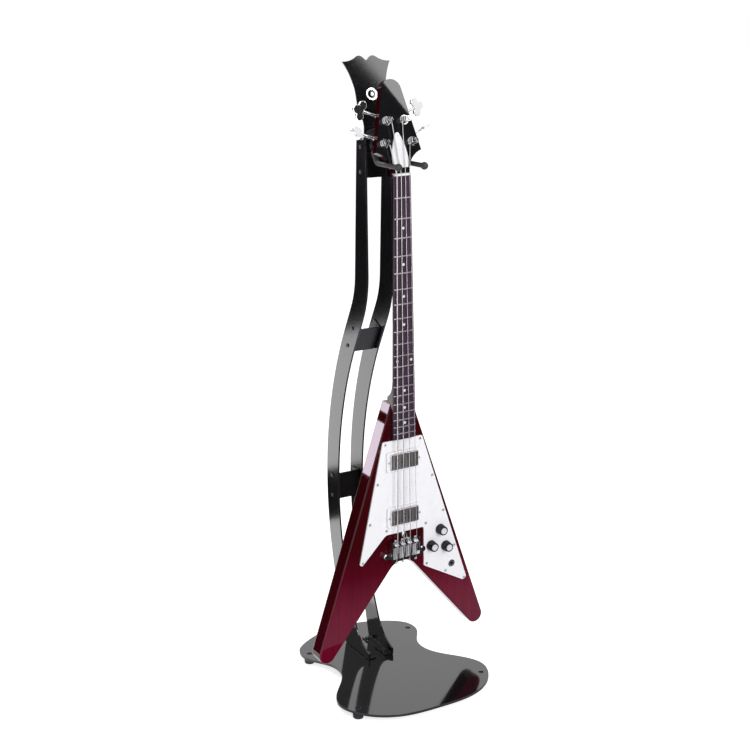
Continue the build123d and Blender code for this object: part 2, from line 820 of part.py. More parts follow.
# Guard with its openings and screws
guard_corners = [
    ((-53.4, -609.5), 4), ((53.4, -609.5), 4), ((184, -1012), 8), ((57, -940), 5),
    ((57, -840), 6), ((-48, -840), 12), ((-122, -913), 5),
]
guard_outline = Polygon(*[corner for corner, radius in guard_corners], align=None)
for corner, radius in guard_corners:
    vertex = guard_outline.vertices().sort_by_distance((corner[0], corner[1], 0))[0]
    guard_outline = fillet(vertex, radius)
guard = front_slab(guard_outline, guard_front, body_front)
for along in pickup_along:
    opening = Pos(0, -along) * RectangleRounded(pickup_width + 3, pickup_length + 3, 4)
    guard -= front_slab(opening, guard_front, body_front)
guard_screw_places = [
    (-46.8, 616.5), (47.5, 616.5), (80.7, 713.5), (-68.8, 709.5), (-90.8, 804.5), (-46.3, 829),
    (62, 831.5), (111.7, 808.5), (143.2, 905.5), (64.5, 936), (118.2, 967.5), (172, 998),
    (-111.5, 896),
]
guard_screws = []
for x, along in guard_screw_places:
    screw = disc(x, -along, guard_front - 1, guard_front, guard_screw_radius)
    screw += disc(x, -along, guard_front, body_front + 9, 1.4)
    guard -= screw
    body -= screw
    guard_screws.append(screw)

# Pickups in rings, each hung on two height screws
pickups = []
rings = []
pickup_screws = []
ring_front = guard_front - ring_height
for along in pickup_along:
    cover = Pos(0, -along) * RectangleRounded(pickup_width, pickup_length, 3.5)
    pickup = front_slab(cover, pickup_top, pickup_bottom)
    top_edges = pickup.edges().filter_by(
        lambda edge: edge.bounding_box().size.Y < 0.01 and edge.center().Y < pickup_top + 0.01
    )
    pickup = fillet(top_edges, 2)
    pickup += block(-pickup_screw_x - 3, pickup_screw_x + 3, pickup_bottom - 2, pickup_bottom,
                    -along - 4, -along + 4)
    ring_hole = Pos(0, -along) * RectangleRounded(
        pickup_width + 2 * pickup_clearance, pickup_length + 2 * pickup_clearance, 3.8
    )
    ring = front_slab(Pos(0, -along) * RectangleRounded(ring_width, ring_length, 6),
                      ring_front, guard_front)
    rim = ring.edges().filter_by(
        lambda edge: edge.bounding_box().size.Y < 0.01 and edge.center().Y < ring_front + 0.01
    )
    ring = fillet(rim, 1.5) - front_slab(ring_hole, ring_front - 1, guard_front + 1)
    for x in (-pickup_screw_x, pickup_screw_x):
        screw = disc(x, -along, ring_front - 1.2, ring_front, 2.6)
        screw += disc(x, -along, ring_front, pickup_bottom + 3, 1.3)
        passage = disc(x, -along, ring_front, pickup_bottom + 4, 1.45)
        ring -= passage
        guard -= passage
        pickup -= disc(x, -along, ring_front, pickup_bottom + 4, 1.3)
        pickup_screws.append(screw)
    pickups.append(pickup)
    rings.append(ring)

# Controls under the guard: pots with knobs, and the jack socket
pots = []
knobs = []
for x, along in knob_places:
    pot = disc(x, -along, body_front, body_front + pot_depth, pot_radius)
    pot += disc(x, -along, guard_front, body_front, 4.5)
    pot += disc(x, -along, guard_front - knob_height + 4, guard_front, pot_shaft_radius)
    guard -= disc(x, -along, guard_front, body_front, 4.5)
    pots.append(pot)
    knob_low = guard_front - knob_lift
    knob_high = knob_low - knob_height
    knob = Cone(knob_radius, knob_top_radius, knob_height)
    knob = fillet(knob.edges().group_by(Axis.Z)[-1], 1)
    knob = Pos(x, (knob_low + knob_high) / 2, -along) * Rot(90, 0, 0) * knob
    knob -= disc(x, -along, knob_high + 3, knob_low, pot_shaft_radius + running_gap)
    cap = disc(x, -along, knob_high - 0.6, knob_high, knob_cap_radius)
    knobs.append([knob, cap])
jack_x, jack_along = jack_place
jack = disc(jack_x, -jack_along, guard_front - 2, guard_front, jack_radius)
jack += disc(jack_x, -jack_along, guard_front, guard_front + jack_length + 2, 5.9)
jack -= disc(jack_x, -jack_along, guard_front - 2, guard_front + jack_length, jack_bore)
guard -= disc(jack_x, -jack_along, guard_front, body_front, 5.9)

# Bridge: a floor with walls and three ears, each on a stud in the body
bridge = block(-bridge_half, bridge_half, bridge_floor, bridge_bottom, -bridge_back, -bridge_front)
bridge += block(-bridge_half, bridge_half, bridge_wall_top, bridge_floor,
                -bridge_back, -bridge_back + rear_wall)
bridge += block(-bridge_half, bridge_half, bridge_wall_top + 2, bridge_floor,
                -bridge_front - bridge_front_wall, -bridge_front)
for side in both(block(bridge_half - bridge_wall, bridge_half, bridge_wall_top, bridge_floor,
                       -bridge_back, -bridge_front)):
    bridge += side
studs = []
for x, along, root in ((stud_x, stud_along, (bridge_half - ear_root, stud_along)),
                       (-stud_x, stud_along, (ear_root - bridge_half, stud_along)),
                       (0, front_stud_along, (0, bridge_front + ear_root))):
    ear = disc(x, -along, bridge_floor, bridge_bottom, ear_radius)
    ear += block(min(x, root[0]) - (ear_radius if x == 0 else 0),
                 max(x, root[0]) + (ear_radius if x == 0 else 0),
                 bridge_floor, bridge_bottom,
                 -max(along, root[1]) - (0 if x == 0 else ear_radius),
                 -min(along, root[1]) + (0 if x == 0 else ear_radius))
    bridge += ear
    stud = disc(x, -along, bridge_floor - stud_head_height, bridge_floor, stud_head_radius)
    stud += disc(x, -along, bridge_floor, body_front + stud_depth, stud_radius)
    stud += disc(x, -along, bridge_bottom, body_front, stud_head_radius)
    bridge -= stud
    body -= stud
    studs.append(stud)
saddles = []
saddle_screws = []
saddle_low = bridge_floor - saddle_gap
saddle_high = string_low_saddle + saddle_gap
saddle_profile = Polygon(
    (saddle_low, -saddle_along - saddle_length / 2), (saddle_low, -saddle_along + saddle_length / 2),
    (-1, -saddle_along + saddle_length / 2), (saddle_high, -saddle_along + 1.5),
    (saddle_high, -saddle_along - 1.5), (-1, -saddle_along - saddle_length / 2), align=None,
)
for nut_x, bridge_x, radius in string_places:
    slot = radius + 0.3
    bridge -= block(bridge_x - slot, bridge_x + slot, bridge_wall_top - 1, 2,
                    -bridge_back - 1, -bridge_back + rear_wall)
    saddle = side_slab(saddle_profile, bridge_x - saddle_width / 2, bridge_x + saddle_width / 2)
    saddle -= rod_between((bridge_x, saddle_screw_y, -saddle_along - saddle_length),
                          (bridge_x, saddle_screw_y, -saddle_along + saddle_length),
                          saddle_screw_radius + saddle_gap)
    saddles.append(saddle)
    screw = rod_between((bridge_x, saddle_screw_y, -bridge_back + rear_wall),
                        (bridge_x, saddle_screw_y, -bridge_front), saddle_screw_radius)
    screw += rod_between((bridge_x, saddle_screw_y, -bridge_front),
                         (bridge_x, saddle_screw_y, -bridge_front + saddle_screw_head_length),
                         saddle_screw_head_radius)
    bridge -= screw
    saddle_screws.append(screw)

# Strap buttons on the back
strap_buttons = []
washer_back = body_back + strap_washer_thickness
flange_front = washer_back + strap_neck_length
for x, along in strap_button_places:
    button = disc(x, -along, body_back, washer_back, strap_washer_radius)
    button += disc(x, -along, washer_back, flange_front, strap_neck_radius)
    button += disc(x, -along, flange_front, flange_front + strap_flange_thickness, strap_flange_radius)
    strap_buttons.append(button)

save("body", body, guitar_place)
save("neck", neck, guitar_place)
save("fretboard", board, guitar_place)
save("frets", frets, guitar_place)
save("position_dots", dots, guitar_place)
save("nut", nut, guitar_place)
save("head_veneer", head_place * head_veneer, guitar_place)
save("truss_rod", truss_rod, guitar_place)
save("truss_cover", head_place * truss_cover, guitar_place)
save("truss_cover_screws", [head_place * screw for screw in cover_screws], guitar_place)
save("pickguard", guard, guitar_place)
save("pickguard_screws", guard_screws, guitar_place)
save("pickup_neck", pickups[0], guitar_place)
save("pickup_bridge", pickups[1], guitar_place)
save("pickup_rings", rings, guitar_place)
save("pickup_screws", pickup_screws, guitar_place)
save("pots", pots, guitar_place)
save("jack_socket", jack, guitar_place)
save("bridge_plate", bridge, guitar_place)
save("bridge_studs", studs, guitar_place)
save("saddle_screws", saddle_screws, guitar_place)
save("strap_buttons", strap_buttons, guitar_place)
save("tuner_bushings", bushings, guitar_place)
save("tuner_housings", housings, guitar_place)
save("tuner_screws", tuner_screws, guitar_place)
for index, name in enumerate(string_names):
    save(f"string_{name}", strings[index], guitar_place)
    save(f"saddle_{name}", saddles[index], guitar_place)
    save(f"tuner_post_{name}", tuner_posts[name], guitar_place)
    save(f"tuner_key_{name}", tuner_keys[name], guitar_place)
for index, name in enumerate(knob_names):
    save(f"knob_{name}", knobs[index], guitar_place)
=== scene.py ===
"""Finishes and fine detail for a V-shaped bass guitar on its floor stand, with a plain studio."""

import json
from math import cos, pi, radians, sin

import bmesh
import bpy
from bpy.props import FloatProperty, FloatVectorProperty, IntProperty, PointerProperty
from mathutils import Matrix, Vector


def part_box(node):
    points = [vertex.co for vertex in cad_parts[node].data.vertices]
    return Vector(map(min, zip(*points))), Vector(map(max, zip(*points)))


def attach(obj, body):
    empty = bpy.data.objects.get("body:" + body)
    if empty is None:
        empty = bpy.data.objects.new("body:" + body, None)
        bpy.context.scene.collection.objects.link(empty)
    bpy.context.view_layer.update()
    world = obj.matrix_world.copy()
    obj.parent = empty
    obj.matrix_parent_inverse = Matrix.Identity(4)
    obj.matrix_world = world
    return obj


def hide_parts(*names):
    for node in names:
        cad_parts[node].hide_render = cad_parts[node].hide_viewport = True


bl_info = {
    "name": "Bass Guitar On Stand",
    "version": (1, 0, 0),
    "blender": (4, 5, 0),
    "location": "View3D > Sidebar > Bass Guitar",
    "description": "Dresses the packed bass guitar and floor stand and sets the studio",
    "category": "Object",
}

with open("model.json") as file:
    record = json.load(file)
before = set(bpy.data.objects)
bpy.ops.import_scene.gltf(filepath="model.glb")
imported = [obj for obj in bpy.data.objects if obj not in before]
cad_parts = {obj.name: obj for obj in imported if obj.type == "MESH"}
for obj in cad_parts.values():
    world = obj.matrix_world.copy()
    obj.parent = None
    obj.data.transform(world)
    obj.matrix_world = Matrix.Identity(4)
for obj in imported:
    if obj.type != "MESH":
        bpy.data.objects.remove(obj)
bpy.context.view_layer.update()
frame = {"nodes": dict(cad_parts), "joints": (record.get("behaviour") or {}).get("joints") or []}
nodes = frame["nodes"]
joints = {joint["name"]: joint for joint in frame["joints"]}

STRING_NAMES = ("e", "a", "d", "g")
KNOB_NAMES = ("upper", "inner", "lower")

# Meshes, in metres: corners nearer than this merge, and edges sharper than this stay crisp
MERGE_DISTANCE = 1e-6
CRISP_ANGLE = radians(35)

# Helical ridges: corners round the wire, and steps in a turn
RIDGE_CORNERS = 8
RIDGE_STEPS = 20

# How far the crown and the headstock lean back
CROWN_TILT = radians(18)
HEAD_TILT = radians(13.3)

# Medallion: bare metal round the enamel, the enamel's thickness, and how far it is sunk
MEDALLION_RIM = 0.0042
ENAMEL_THICKNESS = 0.0002
ENAMEL_SINK = 0.00048
# Each step goes in and up, and is enamel (0) or metal (1)
MEDALLION_STEPS = (
    (0.0008, 0.0001, 0), (0.005, 0.00005, 0), (0.0002, 0.0004, 1), (0.0008, 0.0001, 1)
)

# Tuners: where a winding starts on its post, its pitch in half wires, and the worm's length
WINDING_START = 0.0049
WINDING_PITCH = 2.2
WORM_LENGTH = 0.0128

# Knobs: gap to the guard, plain collar under the flutes, and the flutes' edge and depth
KNOB_GAP = 0.0003
KNOB_COLLAR = 0.004
FLUTE_EDGE = 0.00012
FLUTE_DEPTH = 0.0005
# Each step goes in and up, and is skirt (0) or cap (1)
KNOB_STEPS = (
    (0.003, -0.0003, 0), (0.0002, 0.0009, 1), (0.0008, 0.0001, 1), (0.002, -0.0003, 1),
    (0.0004, -0.0001, 1)
)

# Screws: depth of the layer that counts as a head's face, the cross's reach as a share of the
# head's radius, how much its arms are narrowed, and its turn from one screw to the next
FACE_LAYER = 2e-5
CROSS_REACH = 0.5
ARM_NARROWING = 0.5
CROSS_TURN = 0.7

# Studio
FLOOR_RADIUS = 30
SENSOR_WIDTH = 36
VIEW_END = 100
LAMP_TARGET = (0, 0, 0.7)
LILAC = (1.0, 0.86, 1.0)


def colour_property(name, description, default):
    """A colour that a user would change."""
    return FloatVectorProperty(name=name, description=description, subtype="COLOR", size=3,
                               min=0, max=1, default=default)


def length_property(name, description, default):
    """A length that a user would change."""
    return FloatProperty(name=name, description=description, subtype="DISTANCE", unit="LENGTH",
                         default=default, precision=5)


class StandFinish(bpy.types.PropertyGroup):
    """Colours of the stand."""

    lacquer: colour_property("Lacquer", "Black coat of the plates, brackets and rods",
                             (0.006, 0.006, 0.007))
    hardware: colour_property("Hardware", "Blackened bolts and bracket screws",
                              (0.06, 0.06, 0.062))
    rubber: colour_property("Rubber", "Feet and yoke sleeves", (0.012, 0.012, 0.012))
    enamel: colour_property("Enamel", "Field of the crown's medallion", (0.01, 0.01, 0.011))


class GuitarFinish(bpy.types.PropertyGroup):
    """Colours of the guitar."""

    # The two cherry tones are the stain with painted light: the pale one is painted light on the
    # wing tips, the deep one painted shade above the wings and on the sides.
    cherry_painted_light: colour_property("Cherry pale", "Stain at the wing tips", (0.155, 0.004, 0.022))
    cherry_painted_shade: colour_property("Cherry deep", "Stain above the wings and on the sides",
                                 (0.042, 0.0016, 0.003))
    face: colour_property("Head face", "Black lacquer on the headstock", (0.006, 0.006, 0.007))
    board_light: colour_property("Board light", "Pale streaks of the fretboard",
                                 (0.062, 0.034, 0.062))
    board_dark: colour_property("Board dark", "Dark streaks of the fretboard",
                                (0.024, 0.012, 0.024))
    white: colour_property("White", "Guard, rings, nut and cover", (0.84, 0.84, 0.87))
    pearl: colour_property("Pearl", "Position dots", (0.8, 0.79, 0.78))
    chrome: colour_property("Chrome", "Bridge, tuners, knob caps and screws", (0.88, 0.88, 0.9))
    nickel: colour_property("Nickel", "Pickup covers", (0.62, 0.59, 0.6))
    fret: colour_property("Fret", "Fret wire", (0.9, 0.88, 0.9))
    wire: colour_property("Wire", "Strings", (0.7, 0.68, 0.67))
    knob: colour_property("Knob", "Black knob skirts", (0.004, 0.004, 0.01))


class DetailSizes(bpy.types.PropertyGroup):
    """Sizes of the fine detail."""

    coil_radius: length_property("Coil radius", "Radius of the wound string's middle", 0.00705)
    coil_wire: length_property("Coil wire", "Half thickness of the wound string", 0.0007)
    coil_turns: IntProperty(name="Coil turns", description="Turns of string on a post", default=4)
    worm_radius: length_property("Worm radius", "Radius of the worm thread's middle", 0.00262)
    worm_ridge: length_property("Worm ridge", "Half height of the worm thread", 0.0002)
    worm_turns: IntProperty(name="Worm turns", description="Turns of the worm thread", default=7)
    knob_radius: length_property("Knob radius", "Radius of a knob's skirt", 0.013)
    knob_top: length_property("Knob top radius", "Radius of a knob's upper edge", 0.0108)
    knob_height: length_property("Knob height", "Height of a knob's skirt", 0.0175)
    knob_flutes: IntProperty(name="Knob flutes", description="Flutes round a knob", default=30)
    # The dark cross is painted shade in place of a screw's recess.
    shade_cross_depth: length_property("Slot depth", "Thickness of the dark cross in a screw", 0.00012)


class StudioSettings(bpy.types.PropertyGroup):
    """Camera and light of the studio."""

    lens: FloatProperty(name="Lens", description="Focal length on a 36 mm sensor", unit="CAMERA",
                        default=65.05)
    place: FloatVectorProperty(name="Camera place", description="Where the camera stands",
                               subtype="XYZ", unit="LENGTH", size=3,
                               default=(-1.5481, -2.5918, 1.5939))
    pitch: FloatProperty(name="Pitch", description="How far the camera looks down",
                         subtype="ANGLE", default=radians(15.49))
    turn: FloatProperty(name="Turn", description="How far the camera looks to the right",
                        subtype="ANGLE", default=radians(30.24))
    room: FloatProperty(name="Room light", description="Brightness of the room around",
                        default=0.35)
    key: FloatProperty(name="Key light", description="Power of the softbox in front", default=85)
    back: FloatProperty(name="Back light", description="Power of the softbox high behind",
                        default=70)
    fill: FloatProperty(name="Fill light", description="Power of the softboxes high on the right",
                        default=8)
    rim: FloatProperty(name="Rim light", description="Power of the softboxes behind on the left",
                       default=31)
    floor: colour_property("Floor", "Colour of the floor", (0.82, 0.82, 0.82))
    glow: FloatProperty(name="Floor glow", description="Light that whitens the floor to the eye",
                        default=0.72)


class Value:
    """A shader socket whose arithmetic adds Math nodes."""

    def __init__(self, graph, socket):
        self.graph = graph
        self.socket = socket

    def math(self, operation, first, second):
        return self.graph.node("ShaderNodeMath", {"operation": operation}, {0: first, 1: second})

    def __add__(self, other):
        return self.math("ADD", self, other)

    def __sub__(self, other):
        return self.math("SUBTRACT", self, other)

    def __rsub__(self, other):
        return self.math("SUBTRACT", other, self)

    def __mul__(self, other):
        return self.math("MULTIPLY", self, other)

    __radd__ = __add__
    __rmul__ = __mul__

    def clamp(self, low, high):
        return self.math("MINIMUM", self.math("MAXIMUM", self, low), high)


class Graph:
    """A node tree that is put together from short expressions."""

    def __init__(self, tree):
        self.tree = tree

    def node(self, kind, settings, inputs, output=0):
        """Adds a node: its settings first, then the values and links of its sockets."""
        node = self.tree.nodes.new(kind)
        for key, value in settings.items():
            setattr(node, key, value)
        for key, value in inputs.items():
            self.feed(node.inputs[key], value)
        return Value(self, node.outputs[output])

    def feed(self, socket, value):
        """Sets or links one socket."""
        if isinstance(value, Value):
            self.tree.links.new(value.socket, socket)
        elif socket.type == "RGBA":
            socket.default_value = (*value, 1)
        else:
            socket.default_value = value

    def seen(self):
        """1 for rays that the eye, a reflection or glass sends, and otherwise 0."""
        camera = self.node("ShaderNodeLightPath", {}, {}, output="Is Camera Ray")
        glossy = self.node("ShaderNodeLightPath", {}, {}, output="Is Glossy Ray")
        glass = self.node("ShaderNodeLightPath", {}, {}, output="Is Transmission Ray")
        return (camera + glossy + glass).clamp(0.0, 1.0)


class Finish(Graph):
    """A material whose finish varies over the surface."""

    def __init__(self, name, **constants):
        self.material = bpy.data.materials.new(name)
        self.material.use_nodes = True
        super().__init__(self.material.node_tree)
        self.shader = self.tree.nodes["Principled BSDF"]
        self.set(**constants)

    def place(self):
        """Object coordinates, in metres."""
        return self.node("ShaderNodeTexCoord", {}, {}, output="Object")

    def noise(self, scale, stretch=(1, 1, 1), detail=3.0, rough=0.55):
        """Noise between 0 and 1 on stretched Object coordinates."""
        place = self.node("ShaderNodeMapping", {}, {"Vector": self.place(), "Scale": stretch})
        return self.node("ShaderNodeTexNoise", {}, {"Vector": place, "Scale": scale,
                                                    "Detail": detail, "Roughness": rough})

    def axis(self, name):
        """One of the Object coordinates."""
        return self.node("ShaderNodeSeparateXYZ", {}, {0: self.place()}, output=name)

    def blend(self, factor, low, high):
        """A colour between two others. The Mix node's colour sockets go by number."""
        return self.node("ShaderNodeMix", {"data_type": "RGBA"}, {0: factor, 6: low, 7: high},
                         output=2)

    def bump(self, height, strength, distance, edge=0.0):
        """Feeds a height, and edges that are rounded to the eye, to the shader's normal."""
        inputs = {"Strength": strength, "Distance": distance, "Height": height}
        if edge:
            inputs["Normal"] = self.node("ShaderNodeBevel", {"samples": 6}, {"Radius": edge})
        self.set(Normal=self.node("ShaderNodeBump", {}, inputs))

    def set(self, **values):
        """Feeds the shader's sockets and returns the material."""
        for socket, value in values.items():
            self.feed(self.shader.inputs[socket.replace("_", " ")], value)
        return self.material


def dimmed(colour, share):
    """A darker tone of a colour."""
    return tuple(share * channel for channel in colour)


def stand_lacquer(name, colour, rough):
    """Glossy black coat with faint orange peel and dust."""
    finish = Finish(name, IOR=1.6)
    dust = finish.noise(9.0, detail=6.0)
    speck = finish.noise(420.0, detail=2.0)
    finish.bump(finish.noise(700.0, detail=2.0), strength=0.04, distance=0.0002, edge=0.0009)
    dusty = (0.014, 0.014, 0.016)
    return finish.set(Base_Color=finish.blend(dust * 0.35, colour, dusty),
                      Roughness=rough + 0.05 * dust + 0.03 * speck)


def stand_satin(name, colour, rough):
    """Black powder coat with a fine grain, on the bent sheets."""
    finish = Finish(name)
    grain = finish.noise(900.0, detail=2.0)
    dust = finish.noise(12.0, detail=5.0)
    finish.bump(grain, strength=0.035, distance=0.0002, edge=0.0006)
    dusty = (0.016, 0.016, 0.018)
    return finish.set(Base_Color=finish.blend(dust * 0.4, colour, dusty),
                      Roughness=rough + 0.04 * grain)


def black_hardware(name, colour, metal, gloss):
    """Blackened steel with slightly worn, paler patches."""
    finish = Finish(name, Metallic=metal, Specular_IOR_Level=gloss)
    wear = finish.noise(500.0, detail=4.0)
    worn = (0.16, 0.16, 0.165)
    return finish.set(Base_Color=finish.blend((wear - 0.5).clamp(0.0, 0.3), colour, worn),
                      Roughness=0.2 + 0.2 * wear)


def black_rubber(colour):
    """Matt black rubber with a fine moulded grain."""
    finish = Finish("black_rubber")
    grain = finish.noise(1400.0, detail=2.0)
    finish.bump(grain, strength=0.25, distance=0.0002)
    greyed = (0.03, 0.03, 0.031)
    return finish.set(Base_Color=finish.blend(finish.noise(60.0), colour, greyed),
                      Roughness=0.5 + 0.15 * grain)


def cherry_lacquer(pale, deep):
    """Cherry stain over straight grain under gloss lacquer, paler low on the wings with painted
    light and deeper above and on the sides with painted shade.
    """
    finish = Finish("cherry_lacquer", Coat_Weight=1.0, Coat_Roughness=0.02, Coat_IOR=1.38,
                    Specular_IOR_Level=0.0)
    painted_light_top = 0.2
    front_edge = -0.041
    dark_streak = (0.03, 0.0015, 0.004)
    dark_pore = (0.02, 0.001, 0.003)
    grain = finish.noise(1.0, (90, 90, 5), detail=6.0, rough=0.6)
    pores = finish.noise(1.0, (900, 900, 26), detail=2.0)
    # Painted shade: the stain deepens higher up, from the top of the painted light on the wings,
    # and on the sides behind the front face.
    painted_shade_upwards = ((finish.axis("Z") - painted_light_top) * 6.0).clamp(0.0, 1.0)
    painted_shade_sideways = ((finish.axis("Y") - front_edge) * 150.0).clamp(0.0, 0.85)
    streak = (1.7 * grain - 0.35).clamp(0.0, 1.0)
    tone = finish.blend(painted_shade_upwards, pale, deep)
    tone = finish.blend(painted_shade_sideways, tone, deep)
    tone = finish.blend(streak * 0.5, tone, dark_streak)
    tone = finish.blend(((pores - 0.62) * 3.0).clamp(0.0, 0.5), tone, dark_pore)
    haze = finish.noise(14.0, detail=3.0)
    finish.bump(finish.noise(40.0, detail=1.0), strength=0.03, distance=0.0006)
    return finish.set(Base_Color=tone, Roughness=0.2 + 0.12 * haze)


def black_gloss(name, colour):
    """Deep black gloss with a faint haze."""
    finish = Finish(name, Coat_Weight=1.0, Coat_Roughness=0.02, Specular_IOR_Level=0.0)
    haze = finish.noise(30.0, detail=4.0)
    finish.bump(finish.noise(120.0, detail=1.0), strength=0.03, distance=0.0004)
    hazy = (0.014, 0.013, 0.014)
    return finish.set(Base_Color=finish.blend(haze * 0.5, colour, hazy),
                      Roughness=0.16 + 0.1 * haze)


def dark_board(light, dark):
    """Oiled dark wood with long streaks and open pores."""
    finish = Finish("dark_board", Specular_IOR_Level=0.2)
    dark_pore = (0.012, 0.006, 0.008)
    streak = finish.noise(1.0, (260, 260, 9), detail=5.0, rough=0.65)
    pores = finish.noise(1.0, (1600, 1600, 70), detail=2.0)
    open_pore = ((pores - 0.58) * 4.0).clamp(0.0, 1.0)
    tone = finish.blend((1.8 * streak - 0.4).clamp(0.0, 1.0), dark, light)
    tone = finish.blend(open_pore * 0.7, tone, dark_pore)
    finish.bump(1.0 - open_pore, strength=0.2, distance=0.0002)
    return finish.set(Base_Color=tone, Roughness=0.34 + 0.16 * streak)


def white_plastic(name, colour):
    """Glossy white plastic with faint clouding."""
    finish = Finish(name, Coat_Weight=0.3, Coat_Roughness=0.08)
    cloud = finish.noise(35.0, detail=4.0)
    finish.bump(finish.noise(300.0, detail=1.0), strength=0.02, distance=0.0003)
    return finish.set(Base_Color=finish.blend(cloud, dimmed(colour, 0.975), colour),
                      Roughness=0.22 + 0.14 * cloud)


def pearl_inlay(colour):
    """Shimmering pearl with soft grey bands."""
    finish = Finish("pearl_inlay", Coat_Weight=0.5)
    bands = finish.noise(700.0, (1, 1, 0.5), detail=3.0)
    grey = (0.6, 0.6, 0.66)
    return finish.set(Base_Color=finish.blend(bands, grey, colour), Roughness=0.2 + 0.2 * bands)


def bright_metal(name, colour, rough, spread, grain=(1, 1, 1)):
    """Plated metal with polishing haze."""
    finish = Finish(name, Metallic=1.0)
    haze = finish.noise(60.0, grain, detail=5.0)
    return finish.set(Base_Color=finish.blend(haze, colour, dimmed(colour, 0.86)),
                      Roughness=rough + spread * haze)


def wound_string(name, colour):
    """Steel core wrapped in fine wire, with painted shade in the grooves between the wraps."""
    finish = Finish(name, Metallic=1.0)
    wraps = finish.node("ShaderNodeTexWave", {"bands_direction": "Z"},
                        {"Vector": finish.place(), "Scale": 350.0})
    finish.bump(wraps, strength=0.4, distance=0.0002)
    # The grooves between the wraps are dimmed with painted shade.
    return finish.set(Base_Color=finish.blend(wraps, dimmed(colour, 0.55), colour),
                      Roughness=0.24 + 0.1 * wraps)


def knob_skirt(colour):
    """Moulded black plastic with a soft sheen."""
    finish = Finish("knob_skirt", Specular_IOR_Level=0.3)
    cloud = finish.noise(250.0, detail=4.0)
    clouded = (0.012, 0.012, 0.022)
    return finish.set(Base_Color=finish.blend(cloud, colour, clouded),
                      Roughness=0.2 + 0.14 * cloud)


def knob_cap(colour):
    """Satin silver with a fine haze."""
    finish = Finish("knob_cap", Metallic=0.35)
    haze = finish.noise(900.0, detail=3.0)
    return finish.set(Base_Color=finish.blend(haze, dimmed(colour, 0.8), colour),
                      Roughness=0.34 + 0.2 * haze)


def recess_shade():
    """Painted shade of a screw's recess, mottled between black and grey."""
    finish = Finish("recess_shade")
    shade_mottle = finish.noise(2000.0)
    black, grey = (0.012, 0.012, 0.013), (0.04, 0.04, 0.04)
    return finish.set(Base_Color=finish.blend(shade_mottle, black, grey), Roughness=0.5 + 0.3 * shade_mottle)


def floor_finish(colour, glow):
    """Pale floor that stays white to the eye and in reflections, and keeps soft shadows."""
    finish = Finish("floor_pale", Roughness=0.9, Emission_Strength=glow)
    black, white = (0.0, 0.0, 0.0), (1.0, 1.0, 1.0)
    return finish.set(Base_Color=colour, Emission_Color=finish.blend(finish.seen(), black, white))


def card_finish(name, shade, pale, glow):
    """Matt or glowing card, with one end that may be paler."""
    finish = Finish(name, Roughness=1.0, Specular_IOR_Level=0.0, Emission_Strength=glow)
    tone = (shade, shade, shade)
    if pale:
        tone = finish.blend((3.3 * finish.axis("Y") - 0.66).clamp(0.0, 1.0), tone, pale)
    return finish.set(Base_Color=tone)


def dress(material, *names):
    """Gives CAD nodes a finish."""
    for name in names:
        for slot in nodes[name].material_slots:
            slot.material = material


def new_object(name, mesh, *materials):
    """Makes an object in the scene from a bmesh."""
    data = bpy.data.meshes.new(name)
    mesh.to_mesh(data)
    mesh.free()
    for material in materials:
        data.materials.append(material)
    made = bpy.data.objects.new(name, data)
    bpy.context.scene.collection.objects.link(made)
    return made


def new_piece(name, mesh, body, materials):
    """Makes a smooth piece from a bmesh, on a body."""
    bmesh.ops.remove_doubles(mesh, verts=mesh.verts, dist=MERGE_DISTANCE)
    bmesh.ops.recalc_face_normals(mesh, faces=mesh.faces)
    piece = new_object(name, mesh, *materials)
    for polygon in piece.data.polygons:
        polygon.use_smooth = True
    piece.data.set_sharp_from_angle(angle=CRISP_ANGLE)
    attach(piece, body)
    return piece


def leaning(tilt):
    """Outward direction of a front that leans back."""
    return Vector((0, -cos(tilt), sin(tilt)))


def standing_on(point, outward):
    """Place at a point, with local Z along a direction."""
    return Matrix.Translation(point) @ outward.to_track_quat("Z", "Y").to_matrix().to_4x4()


def joint_place(name):
    """Place of a hinge, with local Z along its axis."""
    joint = joints[name]
    return standing_on(joint["pos_m"], Vector(joint["axis"]))


def stepped_face(mesh, face, steps):
    """Insets a face in steps, each with a material."""
    for inward, rise, material in steps:
        ring = bmesh.ops.inset_region(mesh, faces=[face], thickness=inward, depth=rise)["faces"]
        for part in ring + [face]:
            part.material_index = material


def wound_ridge(mesh, radius, wire, start, pitch, turns):
    """Adds a helical ridge round local Z to a bmesh."""
    circle = bmesh.ops.create_circle(mesh, segments=RIDGE_CORNERS, radius=wire, cap_ends=True)
    ring = circle["verts"]
    bmesh.ops.rotate(mesh, verts=ring, cent=(0, 0, 0), matrix=Matrix.Rotation(pi / 2, 3, "X"))
    bmesh.ops.translate(mesh, verts=ring, vec=(radius, 0, start))
    disc = list({face for vert in ring for face in vert.link_faces})
    rim = list({edge for face in disc for edge in face.edges})
    bmesh.ops.spin(mesh, geom=ring + rim + disc, cent=(0, 0, 0), axis=(0, 0, 1),
                   dvec=(0, 0, pitch / RIDGE_STEPS), angle=2 * pi * turns,
                   steps=RIDGE_STEPS * turns)


def loose_parts(name):
    """Corner vectors of each separate solid in a CAD node."""
    mesh = bmesh.new()
    mesh.from_mesh(nodes[name].data)
    bmesh.ops.remove_doubles(mesh, verts=mesh.verts, dist=MERGE_DISTANCE)
    seen = set()
    parts = []
    for vert in mesh.verts:
        if vert in seen:
            continue
        stack = [vert]
        part = []
        seen.add(vert)
        while stack:
            here = stack.pop()
            part.append(here.co.copy())
            for edge in here.link_edges:
                other = edge.other_vert(here)
                if other not in seen:
                    seen.add(other)
                    stack.append(other)
        parts.append(part)
    mesh.free()
    return parts


def head_places(name, outward):
    """Middle and radius of the outer face of each screw in a node."""
    places = []
    for part in loose_parts(name):
        top = max(corner.dot(outward) for corner in part)
        rim = [corner for corner in part if corner.dot(outward) > top - FACE_LAYER]
        middle = sum(rim, Vector()) / len(rim)
        places.append((middle, max((corner - middle).length for corner in rim)))
    return places


